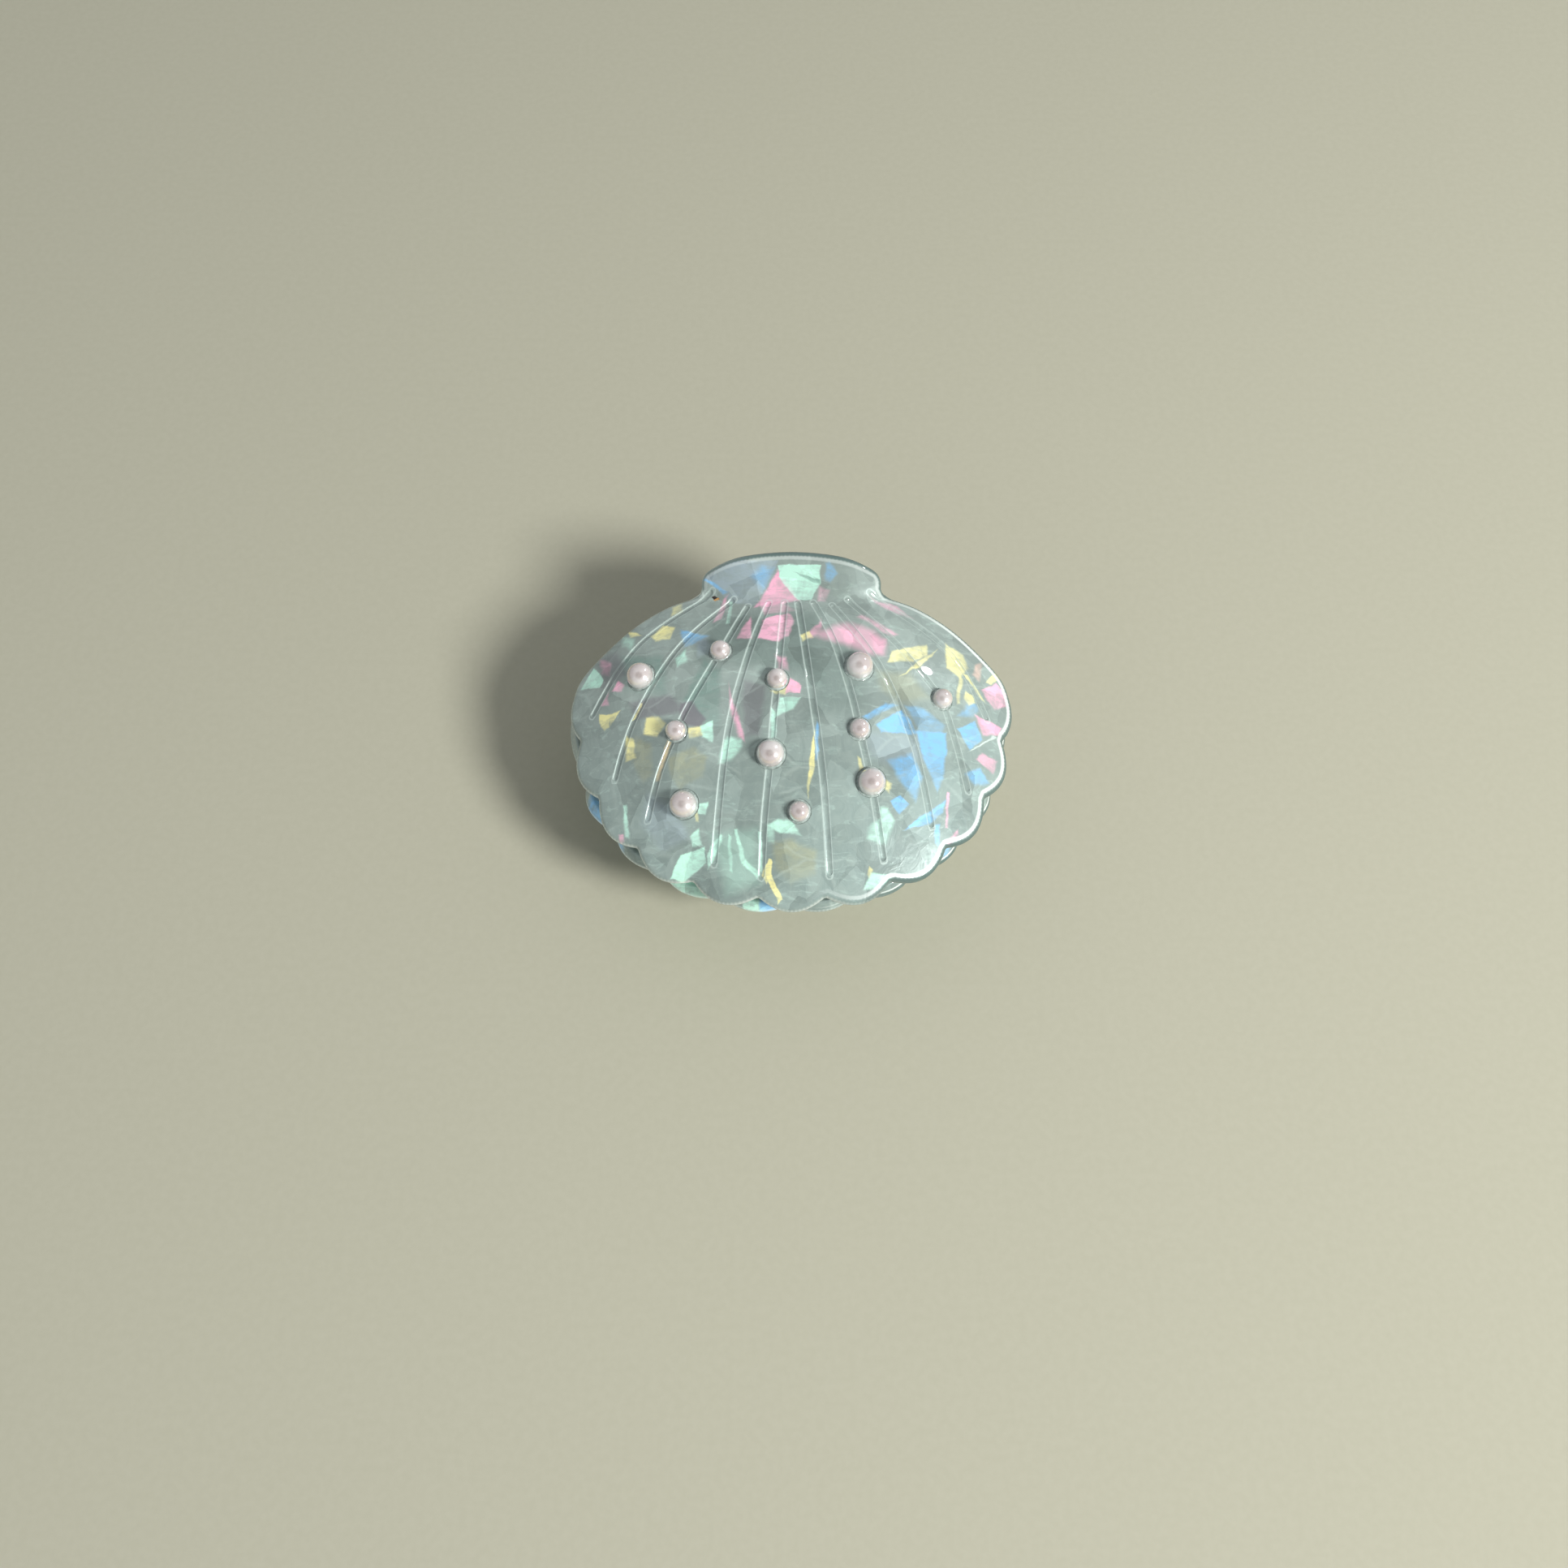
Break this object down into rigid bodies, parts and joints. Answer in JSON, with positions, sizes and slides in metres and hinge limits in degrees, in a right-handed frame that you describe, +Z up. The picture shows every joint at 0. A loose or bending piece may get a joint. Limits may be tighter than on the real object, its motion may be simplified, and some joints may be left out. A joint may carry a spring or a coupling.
{
  "type": "claw clip",
  "caption": "Scallop-shell claw clip for hair: two domed translucent jaws with scalloped rims and pearl beads, closed by a torsion spring hinge.",
  "frame": {"origin": "middle of the clip's box at its lowest point, where the back jaw's beads touch the surface it lies on", "axes": "+Z up through the front jaw, +Y towards the ear-shaped handles, +X along the hinge pin"},
  "size_m": [0.0664, 0.0534, 0.0295],
  "materials": {
    "acetate": "polished translucent cellulose acetate, pale aqua grey, with crinkled iridescent film flakes inside",
    "pearl": "pearlescent lacquer over plastic bead",
    "hinge_metal": "stamped steel, pale gold plating, light wear",
    "spring_steel": "bright drawn spring wire"
  },
  "bodies": {
    "back_half": {"back_shell": "acetate", "back_hinge_leaf": "hinge_metal", "hinge_pin": "hinge_metal", "torsion_spring": "spring_steel", "back_pearl_1": "pearl", "back_pearl_2": "pearl", "back_pearl_3": "pearl", "back_pearl_4": "pearl", "back_pearl_5": "pearl", "back_pearl_6": "pearl", "back_pearl_7": "pearl", "back_pearl_8": "pearl", "back_pearl_9": "pearl", "back_pearl_10": "pearl", "back_pearl_11": "pearl"},
    "front_half": {"front_shell": "acetate", "front_hinge_leaf": "hinge_metal", "front_pearl_1": "pearl", "front_pearl_2": "pearl", "front_pearl_3": "pearl", "front_pearl_4": "pearl", "front_pearl_5": "pearl", "front_pearl_6": "pearl", "front_pearl_7": "pearl", "front_pearl_8": "pearl", "front_pearl_9": "pearl", "front_pearl_10": "pearl", "front_pearl_11": "pearl"}
  },
  "joints": [
    {"name": "jaw_hinge", "type": "hinge", "parent": "back_half", "child": "front_half", "pos_m": [0, 0.01564, 0.01476], "axis": [-1, 0, 0], "range_deg": [0, 60], "stiffness_Nm_per_rad": 0.12, "springref_deg": -68.75, "deforming": ["torsion_spring"]}
  ]
}
